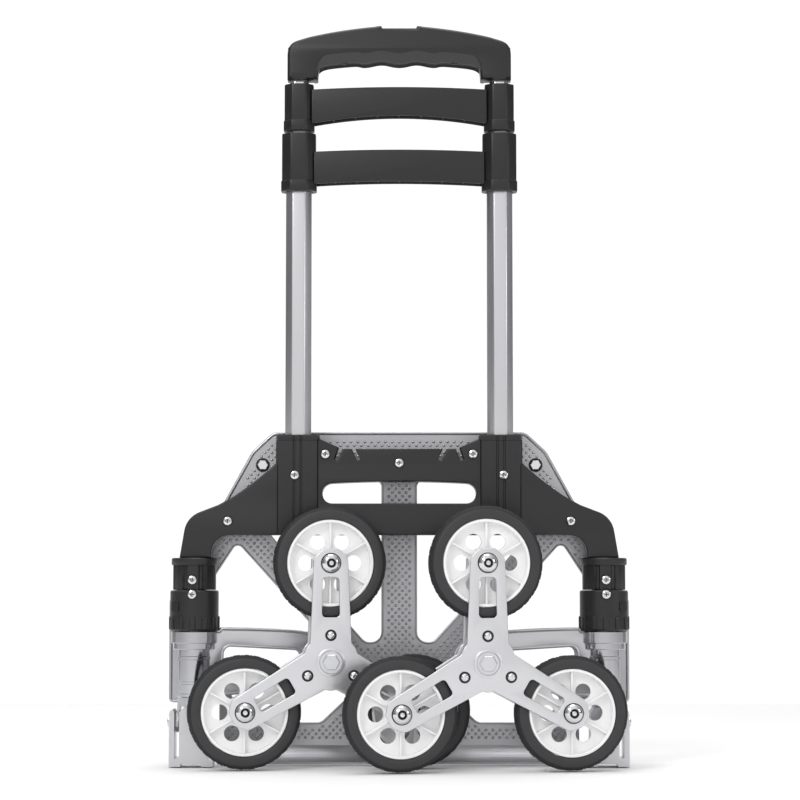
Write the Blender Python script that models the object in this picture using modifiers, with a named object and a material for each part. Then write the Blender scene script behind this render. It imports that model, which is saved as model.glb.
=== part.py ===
"""Folding stair-climbing hand truck, modelled in its folded state.

+X is to the truck's right, +Z is up, and the wheels are on the -Y side of the frame. The origin is on
the floor, in the middle of the whole truck's box. All sizes are in metres.
"""

import math

import bmesh
import bpy
from mathutils import Matrix, Vector

MM = 0.001
GAP = 0.3 * MM                      # between pieces that touch
RUN = 0.3 * MM                      # round a shaft that turns or slides

LEG_X = 222 * MM                    # leg tubes, either side of the middle
LEG_Y = 32.3 * MM                   # puts the middle of the box at Y = 0
TUBE_X = 110 * MM                   # handle tubes, either side of the middle

LEG_R = 11 * MM
LEG_BOTTOM = 20 * MM
LEG_TOP = 254 * MM
YOKE_BOTTOM = 224 * MM              # where the yoke's arms meet the leg sockets
SOCKET_BOTTOM = 189 * MM
HOUSING_BOTTOM = 145 * MM
SLEEVE_BOTTOM = 74 * MM
SPRING_R = 16 * MM

YOKE_HALF = 15 * MM                 # half the yoke's depth
YOKE_BEAM_BOTTOM = 248.5 * MM
YOKE_SOCKET_TOP = 357 * MM

TUBE_HALF = (14.1 * MM, 12 * MM)    # outer tube: half width and half depth
TUBE_FLAT = (6.5 * MM, 5 * MM)      # half of its flat faces
TUBE_WALL = 1.4 * MM
STAGE_STEP = 1.8 * MM               # from one tube to the tube inside it
OUTER_TUBE = (257 * MM, 686 * MM)
MID_TUBE = (263 * MM, 741 * MM)
INNER_TUBE = (300 * MM, 774 * MM)

LOWER_BRACE = (624.4 * MM, 688.4 * MM)
UPPER_BRACE = (691.2 * MM, 743.2 * MM)

HINGE_Z = 47 * MM                   # toe plate hinge line, in the legs' plane
PLATE_Y = 36 * MM                   # from the hinge line to the middle of the folded sheet
SHEET = 3 * MM
RIM_BOTTOM = 60 * MM               # the flange runs round the plate above this height
LIP_R = 46.5 * MM                   # the rolled lip follows this circle round the hinge line

WHEEL_R = 60.5 * MM
RIM_R = 46.5 * MM
WHEEL_HALF = 10 * MM
WHEEL_STEPS = 20
STAR_R = 105 * MM                   # hub to wheel axle
STAR_SHEET = 3 * MM
HUB_Z = WHEEL_R + STAR_R / 2
ARM_REACH = 140.7 * MM
ARM_HALF = 8 * MM
LEFT_FOLD = math.radians(8)
RIGHT_FOLD = math.radians(8)
INNER_SHEET = 44.5 * MM
WHEEL_MIDDLE = 59 * MM
OUTER_SHEET = 70.5 * MM
AXLE_R = 4 * MM
HUB_AXLE_R = 6 * MM

BUTTON_TOP = 805.3 * MM             # 4.5 mm above the grip's pocket floor, which is its travel

PARTS = "folding_stair_hand_truck"
CUTTERS = "cutters"


# ---------------------------------------------------------------- scene and materials

def clear_scene():
    for thing in list(bpy.data.objects):
        bpy.data.objects.remove(thing, do_unlink=True)
    for group in list(bpy.data.collections):
        bpy.data.collections.remove(group)


def new_collection(name):
    group = bpy.data.collections.new(name)
    bpy.context.scene.collection.children.link(group)
    return group


def material(name, colour, roughness, metallic):
    look = bpy.data.materials.new(name)
    look.use_nodes = True
    shader = look.node_tree.nodes["Principled BSDF"]
    shader.inputs["Base Color"].default_value = (*colour, 1)
    shader.inputs["Roughness"].default_value = roughness
    shader.inputs["Metallic"].default_value = metallic
    look.diffuse_color = (*colour, 1)
    return look


LOOKS = {
    "black_plastic": ((0.03, 0.03, 0.032), 0.45, 0.0),
    "grey_plastic": ((0.10, 0.10, 0.105), 0.5, 0.0),
    "white_plastic": ((0.86, 0.86, 0.86), 0.4, 0.0),
    "tyre": ((0.06, 0.06, 0.062), 0.7, 0.0),
    "anodised": ((0.72, 0.72, 0.74), 0.35, 1.0),
    "sheet_aluminium": ((0.60, 0.60, 0.62), 0.42, 1.0),
    "cast_aluminium": ((0.66, 0.66, 0.68), 0.38, 1.0),
    "star_steel": ((0.64, 0.64, 0.65), 0.36, 1.0),
    "chrome": ((0.80, 0.80, 0.82), 0.12, 1.0),
    "spring_steel": ((0.45, 0.45, 0.47), 0.3, 1.0),
}


# ---------------------------------------------------------------- outlines

def scaled(points):
    """Outline points given in millimetres."""
    return [(x * MM, z * MM) for x, z in points]


def arc(centre, radius, start, end, count):
    """Points on an arc, from start to end in degrees, both included."""
    turns = [math.radians(start + (end - start) * i / (count - 1)) for i in range(count)]
    return [(centre[0] + radius * math.cos(t), centre[1] + radius * math.sin(t)) for t in turns]


def circle(centre, radius, count):
    return arc(centre, radius, 0, 360 - 360 / count, count)


def rounded(corners, count=4):
    """A closed outline from (x, z, radius) corners in millimetres, each rounded by count points."""
    points = []
    for i, (x, z, radius) in enumerate(corners):
        corner = Vector((x, z))
        if radius == 0:
            points.append((x, z))
            continue
        before = (Vector(corners[i - 1][:2]) - corner).normalized()
        after = (Vector(corners[(i + 1) % len(corners)][:2]) - corner).normalized()
        half = before.angle(after) / 2
        centre = corner + (before + after).normalized() * radius / math.sin(half)
        start = corner + before * radius / math.tan(half) - centre
        sweep = -(math.pi - 2 * half) * math.copysign(1, before.cross(after))
        for k in range(count):
            turn = sweep * k / (count - 1)
            spot = centre + Matrix.Rotation(turn, 2) @ start
            points.append((spot.x, spot.y))
    return scaled(points)


def mirrored(points):
    """The same outline on the other side of x = 0, still running the same way round."""
    return [(-x, z) for x, z in reversed(points)]


def tube_section(inset, centre=(0, 0)):
    """Eight-sided tube section, made smaller all round by inset."""
    wide, deep = TUBE_HALF[0] - inset, TUBE_HALF[1] - inset
    flat_x, flat_y = TUBE_FLAT[0] - 0.4 * inset, TUBE_FLAT[1] - 0.4 * inset
    quarter = [(flat_x, -deep), (wide, -flat_y), (wide, flat_y), (flat_x, deep)]
    ring = quarter + [(-x, y) for x, y in reversed(quarter)]
    return [(centre[0] + x, centre[1] + y) for x, y in ring]


def inset_outline(points, distance):
    """An anticlockwise outline moved inwards by distance."""
    moved = []
    for i, spot in enumerate(points):
        here = Vector(spot)
        along_in = (here - Vector(points[i - 1])).normalized()
        along_out = (Vector(points[(i + 1) % len(points)]) - here).normalized()
        in_normal, out_normal = Vector((-along_in.y, along_in.x)), Vector((-along_out.y, along_out.x))
        middle = (in_normal + out_normal).normalized()
        spot = here + middle * distance / middle.dot(out_normal)
        moved.append((spot.x, spot.y))
    return moved


# ---------------------------------------------------------------- solids

def closed_mesh(mesh):
    """Welds a mesh and turns its faces outwards."""
    work = bmesh.new()
    work.from_mesh(mesh)
    bmesh.ops.remove_doubles(work, verts=work.verts, dist=0.005 * MM)
    bmesh.ops.recalc_face_normals(work, faces=work.faces)
    work.to_mesh(mesh)
    work.free()


def place(thing, look, group):
    thing.data.materials.clear()
    if look:
        thing.data.materials.append(bpy.data.materials[look])
    else:
        thing.hide_render = True
        thing.display_type = "WIRE"
    bpy.data.collections[group].objects.link(thing)
    return thing


def prism(name, outlines, low, high, plane="XZ", look=None, group=CUTTERS):
    """A flat outline with holes, extruded from low to high: along Y for XZ, Z for XY, X for YZ."""
    curve = bpy.data.curves.new(name, "CURVE")
    curve.dimensions = "2D"
    curve.fill_mode = "BOTH"
    curve.extrude = (high - low) / 2
    for points in outlines:
        spline = curve.splines.new("POLY")
        spline.points.add(len(points) - 1)
        for point, (x, y) in zip(spline.points, points):
            point.co = (x, y, 0, 1)
        spline.use_cyclic_u = True
    guide = bpy.data.objects.new(name + "_outline", curve)
    middle = (low + high) / 2
    if plane == "XZ":
        guide.matrix_world = Matrix.Translation((0, middle, 0)) @ Matrix.Rotation(math.pi / 2, 4, "X")
    elif plane == "YZ":
        turn = Matrix(((0, 0, 1, middle), (1, 0, 0, 0), (0, 1, 0, 0), (0, 0, 0, 1)))
        guide.matrix_world = turn
    else:
        guide.matrix_world = Matrix.Translation((0, 0, middle))
    bpy.context.scene.collection.objects.link(guide)
    bpy.context.view_layer.update()
    seen = guide.evaluated_get(bpy.context.evaluated_depsgraph_get())
    mesh = bpy.data.meshes.new_from_object(seen)
    mesh.transform(guide.matrix_world)
    bpy.data.objects.remove(guide)
    closed_mesh(mesh)
    return place(bpy.data.objects.new(name, mesh), look, group)


def turned(name, profile, steps=16, look=None, group=CUTTERS, facing="UP"):
    """A profile of (radius, height) turned round Z, or round -Y for FRONT and +X for SIDE."""
    mesh = bpy.data.meshes.new(name)
    on_axis = profile[0][0] == 0
    edges = [(i, i + 1) for i in range(len(profile) - 1)]
    if not on_axis:
        edges.append((len(profile) - 1, 0))
    mesh.from_pydata([(r, 0, h) for r, h in profile], edges, [])
    thing = bpy.data.objects.new(name, mesh)
    screw = thing.modifiers.new("turn", "SCREW")
    screw.steps = screw.render_steps = steps
    screw.use_merge_vertices = True
    screw.merge_threshold = 0.005 * MM
    bpy.context.scene.collection.objects.link(thing)
    bpy.context.view_layer.update()
    solid = bpy.data.meshes.new_from_object(thing.evaluated_get(bpy.context.evaluated_depsgraph_get()))
    bpy.data.objects.remove(thing)
    if facing == "FRONT":
        solid.transform(Matrix.Rotation(math.pi / 2, 4, "X"))
    elif facing == "SIDE":
        solid.transform(Matrix.Rotation(math.pi / 2, 4, "Y"))
    closed_mesh(solid)
    solid.shade_smooth()
    solid.set_sharp_from_angle(angle=math.radians(35))
    return place(bpy.data.objects.new(name, solid), look, group)


def wire(name, route, radius, rounds):
    """A round wire along a list of points, as a finished piece."""
    curve = bpy.data.curves.new(name, "CURVE")
    curve.dimensions = "3D"
    curve.bevel_depth = radius
    curve.bevel_resolution = rounds
    curve.use_fill_caps = True
    spline = curve.splines.new("POLY")
    spline.points.add(len(route) - 1)
    for point, spot in zip(spline.points, route):
        point.co = (*spot, 1)
    guide = bpy.data.objects.new(name + "_route", curve)
    bpy.context.scene.collection.objects.link(guide)
    bpy.context.view_layer.update()
    mesh = bpy.data.meshes.new_from_object(guide.evaluated_get(bpy.context.evaluated_depsgraph_get()))
    bpy.data.objects.remove(guide)
    closed_mesh(mesh)
    return place(bpy.data.objects.new(name, mesh), "spring_steel", PARTS)


def shaft(radius, low, high):
    """Profile of a plain solid cylinder."""
    return [(0, high), (radius, high), (radius, low), (0, low)]


def block(name, low, high, look=None, group=CUTTERS):
    """A box between two corners."""
    bpy.ops.mesh.primitive_cube_add(size=1)
    thing = bpy.context.object
    thing.name = thing.data.name = name
    for owner in list(thing.users_collection):
        owner.objects.unlink(thing)
    size = [b - a for a, b in zip(low, high)]
    middle = [(a + b) / 2 for a, b in zip(low, high)]
    thing.data.transform(Matrix.Translation(middle) @ Matrix.Diagonal((*size, 1)))
    return place(thing, look, group)


def combine(thing, others, operation):
    for other in others:
        step = thing.modifiers.new(operation.lower(), "BOOLEAN")
        step.operation = operation
        step.solver = "EXACT"
        step.object = other
    return thing


def cut(thing, *others):
    return combine(thing, others, "DIFFERENCE")


def join(thing, *others):
    return combine(thing, others, "UNION")


def move(thing, x=0.0, y=0.0, z=0.0):
    thing.location = (x, y, z)
    return thing


def pivot(name, x, y, z, turn=0.0):
    """An empty that holds the pieces of one moving group."""
    empty = bpy.data.objects.new(name, None)
    empty.location = (x, y, z)
    empty.rotation_euler = (0, 0, turn)
    bpy.data.collections[PARTS].objects.link(empty)
    return empty


def part(maker, name, *shape, **options):
    return maker(name, *shape, group=PARTS, **options)


# ---------------------------------------------------------------- yoke

def yoke_outline():
    """Right half of the yoke from the middle of its top edge to the middle of its bottom edge."""
    half = scaled([(0, 342), (47.5, 342), (42, 330.5), (45.5, 329), (51.5, 342), (61.5, 342), (66.5, 329),
                   (70.5, 330.5), (65.8, 343.5), (86, 352.5), (88.5, 356.7), (133.5, 356.7), (133.5, 326),
                   (153, 309.2), (176, 291.9), (188, 284)])
    half += [(x, z) for x, z in rounded([(188, 284, 0), (230, 268, 26), (237.4, 224, 0)], 6)[1:]]
    half += [(203 * MM, 224 * MM)]
    half += arc((183 * MM, 228.5 * MM), 20 * MM, 0, 90, 5)
    half += [(0, YOKE_BEAM_BOTTOM)]
    return half


def hand_slot():
    return arc((72.6 * MM, 293.6 * MM), 11 * MM, -90, 90, 6) + arc((-72.6 * MM, 293.6 * MM), 11 * MM, 90, 270, 6)


def socket_section(side):
    """Plan of a tube socket's front half, with three grooves, as an outline in X and Y."""
    grooves = []
    for middle in (108.5, 114, 119.5):
        grooves += [(middle - 1.3, -18), (middle - 0.9, -16.6), (middle + 0.9, -16.6), (middle + 1.3, -18)]
    ring = [(88.2, -8), (88.2, -15.5), (90.7, -18)] + grooves + [(131.3, -18), (133.8, -15.5), (133.8, -8)]
    return scaled([(side * x, y) for x, y in ring])


def yoke_shell(name, facing, tubes):
    """One half of the yoke. facing is -1 for the front shell and 1 for the rear one."""
    right = yoke_outline()
    left = [(-x, z) for x, z in reversed(right[1:-1])]
    near, far = sorted((facing * GAP / 2, facing * YOKE_HALF))
    shell = part(prism, name, [right + left, hand_slot()], near, far, look="black_plastic")
    for side in (-1, 1):
        section = [(x, y if facing < 0 else -y) for x, y in socket_section(side)]
        low, high = YOKE_BEAM_BOTTOM + GAP, YOKE_SOCKET_TOP - GAP
        join(shell, prism(f"{name}_socket_{side}", [section], low, high, "XY"))
    deep = sorted((-facing * MM, facing * (YOKE_HALF - 3.5 * MM)))
    pockets = [
        scaled([(-80, 309), (80, 309), (80, 325), (-80, 325)]),
        scaled([(-83, 253), (83, 253), (83, 278), (-83, 278)]),
    ]
    for side in (-1, 1):
        pockets.append(scaled([(side * x, z) for x, z in [(138, 253), (176, 253), (196, 262), (178, 283), (138, 312)]]))
    for number, outline in enumerate(pockets):
        cut(shell, prism(f"{name}_pocket_{number}", [outline], deep[0], deep[1]))
    cut(shell, *tubes)
    return shell


def build_yoke():
    channels = []
    for side in (-1, 1):
        section = tube_section(-GAP, (side * TUBE_X, 0))
        channels.append(prism(f"tube_channel_{side}", [section], OUTER_TUBE[0] - GAP, 370 * MM, "XY"))
        leg = turned(f"leg_channel_{side}", shaft(LEG_R + GAP, 200 * MM, LEG_TOP + GAP))
        channels.append(move(leg, x=side * LEG_X))
    for name, facing in (("yoke_front_shell", -1), ("yoke_rear_shell", 1)):
        yoke_shell(name, facing, channels)


# ---------------------------------------------------------------- handle tubes, braces and grip

def build_tubes():
    stages = (("outer_tube", OUTER_TUBE, 0), ("mid_tube", MID_TUBE, 1), ("inner_tube", INNER_TUBE, 2))
    for stage, (low, high), depth in stages:
        for side, word in ((-1, "left"), (1, "right")):
            centre = (side * TUBE_X, 0)
            rings = [tube_section(depth * STAGE_STEP, centre), tube_section(depth * STAGE_STEP + TUBE_WALL, centre)]
            part(prism, f"{stage}_{word}", rings, low, high, "XY", look="anodised")


def brace(name, span, half_width, half_depth, tube_inset, band, sag):
    """Two collars joined by a bowed band that is hollow from below. band is the low and high edge at
    the collars, and sag is how far the low and high edges rise in the middle."""
    low, high = span
    collars = []
    for side in (-1, 1):
        wider, deeper = half_width / TUBE_HALF[0], half_depth / TUBE_HALF[1]
        collars.append([(side * TUBE_X + x * wider, y * deeper) for x, y in tube_section(0)])
    solid = part(prism, name, [collars[0]], low, high, "XY", look="black_plastic")
    join(solid, prism(f"{name}_collar", [collars[1]], low, high, "XY"))
    reach = TUBE_X - TUBE_HALF[0]
    lower = [(-reach + 2 * reach * i / 8, band[0] + sag[0] * (1 - (i / 4 - 1) ** 2)) for i in range(9)]
    upper = [(reach - 2 * reach * i / 8, band[1] + sag[1] * (1 - (i / 4 - 1) ** 2)) for i in range(9)]
    join(solid, prism(f"{name}_band", [lower + upper], -11 * MM, 11 * MM))
    inside = (TUBE_X - half_width - 4 * MM)
    hollow_top = [(inside - 2 * inside * i / 6, band[1] - 4 * MM + sag[1] * (1 - (i / 3 - 1) ** 2)) for i in range(7)]
    hollow = [(-inside, low - 2 * MM), (inside, low - 2 * MM)] + hollow_top
    cut(solid, prism(f"{name}_hollow", [hollow], -8.4 * MM, 8.4 * MM))
    for side in (-1, 1):
        bore = tube_section(tube_inset - GAP, (side * TUBE_X, 0))
        cut(solid, prism(f"{name}_bore_{side}", [bore], low - MM, high + MM, "XY"))
    return solid


def build_braces():
    brace("lower_brace", LOWER_BRACE, 18.6 * MM, 16.5 * MM, 0, (632.3 * MM, 667.9 * MM), (3 * MM, 2.3 * MM))
    brace("upper_brace", UPPER_BRACE, 16 * MM, 14.5 * MM, STAGE_STEP, (699 * MM, 736.8 * MM), (9 * MM, 2.8 * MM))


def grip_inside(rise):
    """The grip's inner edge from the right leg to the left leg, with finger dips, moved up by rise."""
    edge = [(95.8 - rise, 748), (95.8 - rise, 752.5)]
    edge += [(93.2 - 0.8 * rise, 758.5 + 0.5 * rise), (87.5 - 0.5 * rise, 764 + 0.9 * rise)]
    edge += [(80, 766.6 + rise), (66, 768.3 + rise), (50, 769.6 + rise)]
    for x in range(42, -43, -4):
        edge.append((x, 769.7 - 1.2 * math.cos(math.tau * x / 38.8) + rise))
    return edge + [(-x, z) for x, z in reversed(edge[:7])]


def build_grip():
    outside = [(-122.8, 748), (-122.8, 777), (-121.4, 783), (-118, 788), (-111, 792), (-97, 796),
               (-70.3, 801.4), (-45, 805), (-24, 807), (-20, 807.6), (-18.6, 805.6)]
    outside += [(-x, z) for x, z in reversed(outside)]
    grip = part(prism, "handle_grip", [scaled(outside + grip_inside(7.3))], -13.5 * MM, 13.5 * MM,
                look="black_plastic")
    for side in (-1, 1):
        socket = tube_section(2 * STAGE_STEP - GAP, (side * TUBE_X, 0))
        cut(grip, prism(f"grip_socket_{side}", [socket], 740 * MM, INNER_TUBE[1] + GAP, "XY"))
    cut(grip,
        block("button_pocket", (-18.4 * MM, -7.4 * MM, 789 * MM), (18.4 * MM, 7.4 * MM, 815 * MM)),
        block("wire_channel", (-112.5 * MM, -2.5 * MM, 777 * MM), (112.5 * MM, 2.5 * MM, 787.5 * MM)),
        block("stem_channel", (-6 * MM, -6 * MM, 780 * MM), (6 * MM, 6 * MM, 790 * MM)))
    for side in (-1, 1):
        hole = turned(f"wire_hole_{side}", shaft(3 * MM, 770 * MM, 780 * MM), 10)
        cut(grip, move(hole, x=side * TUBE_X))
    lower, upper = grip_inside(0)[2:-2], grip_inside(7.0)[2:-2]
    part(prism, "handle_insert", [scaled(lower + upper[::-1])], -13 * MM, 13 * MM, look="grey_plastic")


def build_button():
    button = part(block, "release_button", (-18 * MM, -7 * MM, 796 * MM), (18 * MM, 7 * MM, BUTTON_TOP),
                  look="grey_plastic")
    join(button, block("button_stem", (-5 * MM, -5 * MM, 785.9 * MM), (5 * MM, 5 * MM, 797 * MM)))
    half = [(110, 700), (110, 779), (109, 782.5), (106, 784)]
    route = half + [(-x, z) for x, z in reversed(half)]
    wire("release_wire", [(x * MM, 0, z * MM) for x, z in route], 1.5 * MM, 1)


# ---------------------------------------------------------------- legs and feet

def build_leg(side, word):
    x = side * LEG_X
    profile = [(0, LEG_TOP), (LEG_R, LEG_TOP), (LEG_R, SLEEVE_BOTTOM - GAP), (14.5 * MM, SLEEVE_BOTTOM - GAP),
               (14.5 * MM, 64 * MM), (LEG_R, 64 * MM), (LEG_R, LEG_BOTTOM), (0, LEG_BOTTOM)]
    move(part(turned, f"leg_tube_{word}", profile, look="anodised"), x=x)

    bore = LEG_R + GAP
    flutes = []
    for k in range(8):
        for turn, radius in ((45 * k - 13, 23.3), (45 * k + 13, 23.3), (45 * k + 22.5, 21.3)):
            flutes += arc((0, 0), radius * MM, turn, turn, 2)[:1]
    socket = part(prism, f"leg_socket_{word}", [flutes, circle((0, 0), bore, 16)],
                  SOCKET_BOTTOM + GAP, YOKE_BOTTOM - GAP, "XY", look="black_plastic")
    move(socket, x=x)

    top, bottom = SOCKET_BOTTOM, HOUSING_BOTTOM + GAP
    shell = [(bore, top), (26.2 * MM, top), (26.2 * MM, bottom), (21.5 * MM, bottom), (21.5 * MM, top - 6 * MM),
             (bore, top - 6 * MM)]
    move(part(turned, f"spring_housing_{word}", shell, steps=20, look="black_plastic"), x=x)
    build_spring(word, x)


def build_spring(word, x):
    low, high, turns, sides = 148.5 * MM, 180.5 * MM, 4, 9
    count = turns * sides
    route = []
    for i in range(count + 1):
        turn = math.tau * i / sides
        route.append((SPRING_R * math.cos(turn), SPRING_R * math.sin(turn), low + (high - low) * i / count))
    move(wire(f"return_spring_{word}", route, 1.6 * MM, 0), x=x)


def build_foot(side, word):
    """Foot bracket: a block under the leg, and a cheek with a slot for the toe plate's ear between."""
    profile = scaled([(side * x, z) for x, z in [
        (200, 0), (213, 0), (213, 3), (235, 3), (235, 0), (247.4, 0), (247.4, 56), (246, 60), (243.5, 61),
        (241.7, 58), (241.7, 9), (236.5, 9), (236.5, 58), (231, 63.5), (210, 63.5), (206, 58), (206, 8),
        (200, 6)]])
    foot = part(prism, f"foot_bracket_{word}", [profile], -16 * MM, 16 * MM, look="cast_aluminium")
    bore = move(turned(f"foot_bore_{word}", shaft(LEG_R + GAP, LEG_BOTTOM - GAP, 80 * MM)), x=side * LEG_X)
    low, high = sorted((side * 234 * MM, side * 260 * MM))
    hole = turned(f"pin_bore_{word}", shaft(4 * MM + RUN, low, high), 12, facing="SIDE")
    cut(foot, bore, move(hole, z=HINGE_Z))
    head = 247.7
    profile = [(0, head + 2.6), (4, head + 2.6), (6, head + 1.4), (6, head), (4, head), (4, 234.3), (0, 234.3)]
    pin = part(turned, f"hinge_pin_{word}", scaled(profile), steps=12, look="chrome", facing="SIDE")
    if side < 0:
        pin.data.transform(Matrix.Rotation(math.pi, 4, "Z"))
    move(pin, z=HINGE_Z)


# ---------------------------------------------------------------- toe plate

def plate_half():
    """Right half of the sheet, from the middle of the bottom edge up to the middle of the top."""
    notch = [(0, 17.6, 0), (197, 17.6, 0), (197, 68, 4), (250.5, 68, 3), (250.5, 177, 10), (190.4, 286.7, 20),
             (161, 340, 22), (138, 361.4, 14), (0, 361.4, 0)]
    return rounded(notch, 4)


def side_cutout():
    """The large cutout beside the middle strip."""
    return rounded([(18.4, 310, 8), (18.4, 131, 12), (38, 131, 12), (112, 213, 12), (150, 258, 12),
                    (150, 310, 12)], 3)


def low_cutout():
    """The cutout below it, between the plate's two diagonals."""
    return rounded([(85, 43.5, 12), (38, 88, 6), (139.4, 200, 6), (178.5, 243, 7), (213, 190, 10),
                    (213, 130, 14), (170, 43.5, 12)], 3)


def build_toe_plate():
    half = plate_half()
    whole = half + [(-x, z) for x, z in reversed(half[1:-1])]
    holes = []
    for outline in (side_cutout(), low_cutout()):
        holes += [outline, mirrored(outline)]
    plate = part(prism, "toe_plate", [whole] + holes, PLATE_Y - SHEET / 2, PLATE_Y + SHEET / 2,
                 look="sheet_aluminium")
    outer = [spot for spot in inset_outline(whole, 0.1 * MM) if spot[1] > RIM_BOTTOM]
    inner = [spot for spot in inset_outline(whole, 2.2 * MM) if spot[1] > RIM_BOTTOM]
    join(plate, prism("plate_rim", [outer + inner[::-1]], PLATE_Y - MM, PLATE_Y + 10 * MM))
    lip = arc((0, HINGE_Z), LIP_R, -37, -82, 8) + arc((0, HINGE_Z), LIP_R - 2.4 * MM, -82, -37, 8)
    join(plate, prism("plate_lip", [lip], -197 * MM, 197 * MM, "YZ"))
    for side in (-1, 1):
        low, high = sorted((side * 237.6 * MM, side * 240.8 * MM))
        ear = scaled([(PLATE_Y / MM, 68.5), (PLATE_Y / MM, 92), (20, 74)])
        ear += arc((0, HINGE_Z), 11 * MM, 80, 330, 9)
        ear += scaled([(24, 60)])
        join(plate, prism(f"plate_ear_{side}", [ear], low, high, "YZ"))
        low, high = sorted((side * 230 * MM, side * 245 * MM))
        hole = turned(f"ear_bore_{side}", shaft(4 * MM + RUN, low, high), 12, facing="SIDE")
        cut(plate, move(hole, z=HINGE_Z))
        bore = turned(f"bolt_bore_{side}", shaft(3.3 * MM, -50 * MM, 0), 10, facing="FRONT")
        cut(plate, move(bore, x=side * 150.5 * MM, z=326.4 * MM))
    for step in plate.modifiers:
        step.solver = "MANIFOLD"
    for side, word in ((-1, "left"), (1, "right")):
        face, back = -(PLATE_Y - SHEET / 2 - GAP), -(PLATE_Y + SHEET / 2 + GAP)
        profile = [(0, face + 4.2 * MM), (5.9 * MM, face + 4.2 * MM), (5.9 * MM, face), (3 * MM, face),
                   (3 * MM, back), (4.6 * MM, back), (4.6 * MM, back - 3 * MM), (0, back - 3 * MM)]
        bolt = part(turned, f"plate_bolt_{word}", profile, steps=12, look="chrome", facing="FRONT")
        move(bolt, x=side * 150.5 * MM, z=326.4 * MM)


# ---------------------------------------------------------------- swing arms and wheel clusters

def build_swing_arm(side, word, holder):
    hub = ARM_REACH / MM
    height = HUB_Z / MM
    outer = [(10, 144), (26.8, 144), (29.5, 147.2), (70, 146.5), (119, 143.8)]
    outer = scaled(outer) + arc((ARM_REACH, HUB_Z), 23 * MM, 75, -105, 10)
    outer += scaled([(33, 76.7), (10, 76.7)])
    window = rounded([(30, 89, 5), (hub - 26, height - 15, 6), (hub - 24, height + 12, 8), (30, 130, 9)], 3)
    if side < 0:
        outlines = [outer, window]
    else:
        outlines = [mirrored(outer), mirrored(window)]
    arm = part(prism, f"swing_arm_{word}", outlines, -ARM_HALF, ARM_HALF, look="cast_aluminium")
    bore = LEG_R + RUN
    sleeve = [(bore - 2 * MM, 144.7), (24.9, 144.7), (24.9, 131.9), (22.8, 131.9), (22.8, 125.3), (17.2, 125.3),
              (17.2, 74), (bore - 2 * MM, 74)]
    sleeve = [(r * MM if r > 1 else r, h * MM) for r, h in sleeve]
    join(arm, turned(f"arm_sleeve_{word}", sleeve, 20))
    boss = turned(f"arm_boss_{word}", shaft(16 * MM, ARM_HALF - MM, INNER_SHEET - GAP), 20, facing="FRONT")
    join(arm, move(boss, x=-side * ARM_REACH, z=HUB_Z))
    leg_bore = turned(f"arm_leg_bore_{word}", shaft(bore, 60 * MM, 160 * MM), 20)
    axle_bore = turned(f"arm_axle_bore_{word}", shaft(HUB_AXLE_R + RUN, -20 * MM, 60 * MM), 14, facing="FRONT")
    cut(arm, leg_bore, move(axle_bore, x=-side * ARM_REACH, z=HUB_Z))
    for piece in (arm, *[step.object for step in arm.modifiers]):
        piece.parent = holder

    back, front = -ARM_HALF - GAP, OUTER_SHEET + STAR_SHEET + GAP
    bolt = [(0, front + 5 * MM), (9.2 * MM, front + 5 * MM), (9.2 * MM, front), (HUB_AXLE_R, front),
            (HUB_AXLE_R, back), (10 * MM, back), (10 * MM, back - 5 * MM), (0, back - 5 * MM)]
    axle = part(turned, f"hub_axle_{word}", bolt, steps=12, look="chrome", facing="FRONT")
    move(axle, x=-side * ARM_REACH, z=HUB_Z).parent = holder


def star_outline():
    """Three arms at 90, 210 and 330 degrees, with clipped notches between and eight-sided tips."""
    right = [(8, 120.4), (16.6, 112.6), (18.4, 109), (22.2, 19.8), (25.2, 16.4)]
    arm = [(-x, z) for x, z in reversed(right)] + right
    points = []
    for k in range(3):
        turn = Matrix.Rotation(math.radians(-120 * k), 2)
        points += [tuple(turn @ Vector(spot)) for spot in arm]
    return scaled(points)


def star_spots():
    return [(STAR_R * math.cos(math.radians(a)), STAR_R * math.sin(math.radians(a))) for a in (90, 210, 330)]


def star_plate(name, low, hub_hole):
    slots = []
    shape = rounded([(-9.4, 47.5, 4), (9.4, 47.5, 4), (8.8, 90, 4), (-8.8, 90, 4)], 3)
    for k in range(3):
        turn = Matrix.Rotation(math.radians(120 * k), 2)
        slots.append([tuple(turn @ Vector(p)) for p in shape])
    holes = [circle((0, 0), hub_hole, 14)] + [circle(spot, AXLE_R + RUN, 10) for spot in star_spots()]
    return part(prism, name, [star_outline()] + slots + holes, -low - STAR_SHEET, -low, look="star_steel")


def wheel_names(word):
    """Position words of a cluster's wheels, in the order 90, 210 and 330 degrees."""
    if word == "left":
        return ("top", "outer", "inner")
    return ("top", "inner", "outer")


def build_cluster(side, word, holder):
    x = -side * ARM_REACH
    pieces = []
    for name, low in (("inner", INNER_SHEET), ("outer", OUTER_SHEET)):
        pieces.append(star_plate(f"star_{name}_plate_{word}", low, HUB_AXLE_R + RUN))
    low, high = INNER_SHEET + STAR_SHEET + GAP, OUTER_SHEET - GAP
    tube = [(12 * MM, high), (12 * MM, low), (HUB_AXLE_R + RUN, low), (HUB_AXLE_R + RUN, high)]
    pieces.append(part(turned, f"star_hub_{word}", tube, steps=16, look="star_steel", facing="FRONT"))
    for piece in pieces:
        move(piece, x=x, z=HUB_Z).parent = holder
    for position, (dx, dz) in zip(wheel_names(word), star_spots()):
        build_wheel(f"{word}_{position}", x + dx, HUB_Z + dz, holder)


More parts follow.
